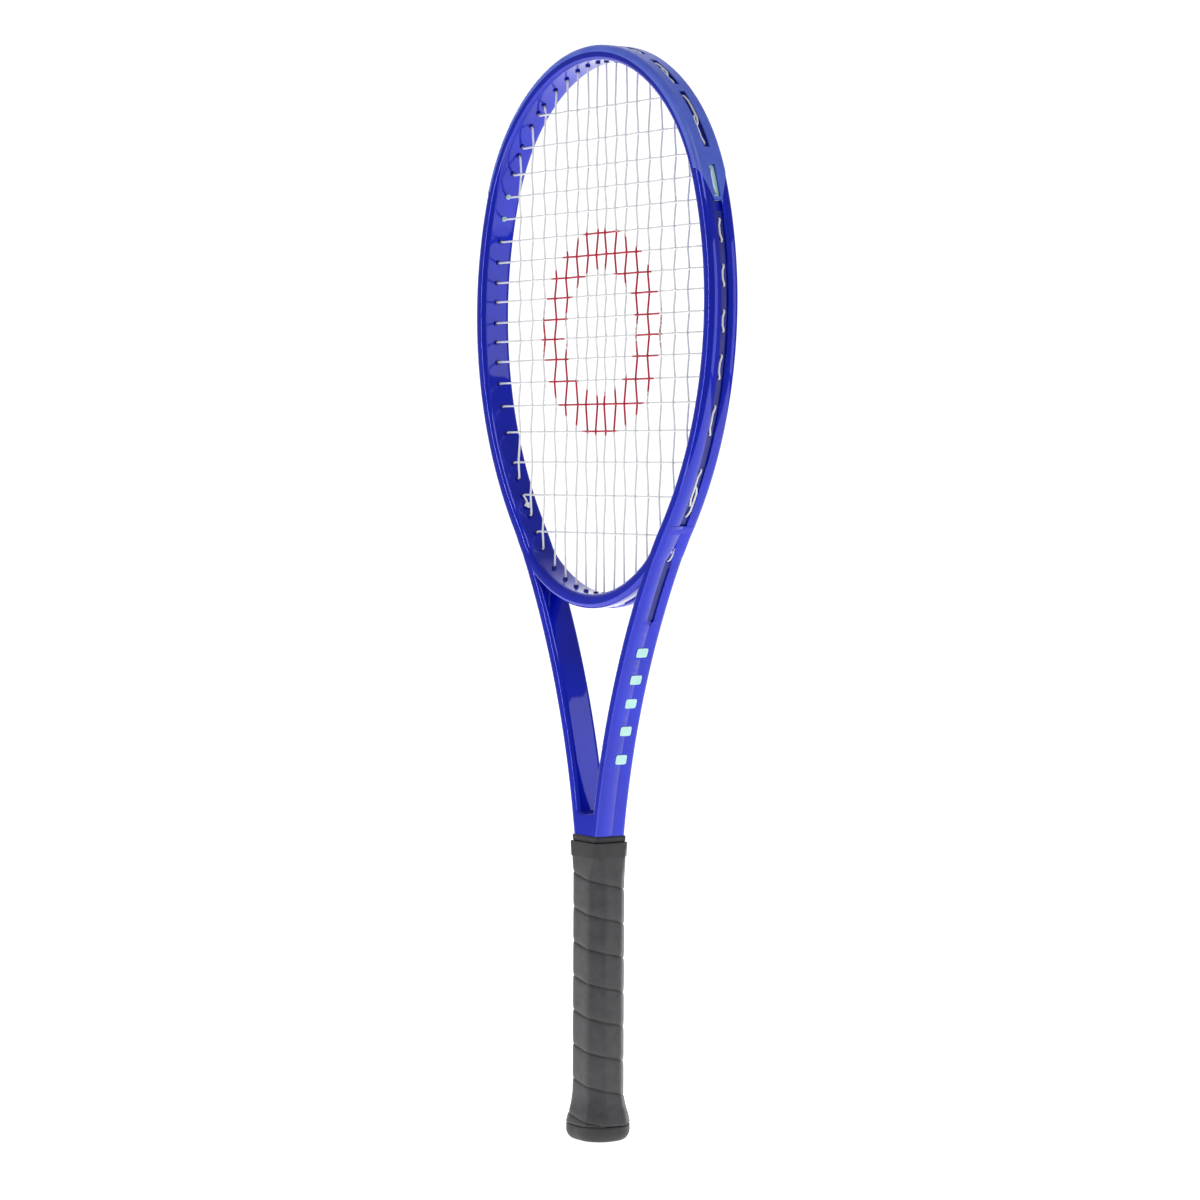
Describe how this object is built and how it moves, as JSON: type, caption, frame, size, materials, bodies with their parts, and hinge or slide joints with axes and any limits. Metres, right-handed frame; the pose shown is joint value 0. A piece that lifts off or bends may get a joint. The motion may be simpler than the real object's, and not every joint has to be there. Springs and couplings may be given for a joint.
{
  "type": "tennis racket",
  "caption": "Strung adult tennis racket with an oval head, open throat, bumper guard, woven string bed, wrapped octagonal grip and a butt cap with a trap door.",
  "frame": {"origin": "centre of the butt's end face, at the lower end of the handle; the racket stands upright on it", "axes": "+Z along the racket from the butt to the tip of the head, +X across the head in the plane of the strings, +Y through the string bed"},
  "size_m": [0.2596, 0.0376, 0.6858],
  "materials": {
    "frame_paint": "gloss lacquer over carbon composite",
    "bumper_plastic": "satin",
    "grommet_plastic": "satin",
    "accent_plastic": "satin",
    "string": "semi-gloss polyester monofilament",
    "handle_foam": "moulded polyurethane",
    "cap_plastic": "fine texture",
    "staple_steel": "plain wire",
    "grip_leather": "perforated synthetic leather",
    "tape": "satin tape",
    "collar_rubber": "matte"
  },
  "bodies": {
    "racket": {"hairpin_tube": "frame_paint", "throat_bridge": "frame_paint", "bumper_guard": "bumper_plastic", "head_grommet_strip": "grommet_plastic", "accent_grommet_left": "accent_plastic", "accent_grommet_right": "accent_plastic", "side_grommet_strip_left": "grommet_plastic", "side_grommet_strip_right": "grommet_plastic", "throat_grommet_strip": "grommet_plastic", "main_string": "string", "cross_string": "string", "pallet_front": "handle_foam", "pallet_back": "handle_foam", "leg_end_plugs": "handle_foam", "butt_cap": "cap_plastic", "butt_cap_staples": "staple_steel", "grip_staple": "staple_steel", "base_grip": "grip_leather", "finishing_tape": "tape", "grip_collar": "collar_rubber"},
    "trap_door": {"butt_cap_door": "cap_plastic"}
  },
  "joints": [
    {"name": "trap_door_slide", "type": "slide", "parent": "racket", "child": "trap_door", "axis": [0, 0, -1], "range_m": [0, 0.015]}
  ]
}
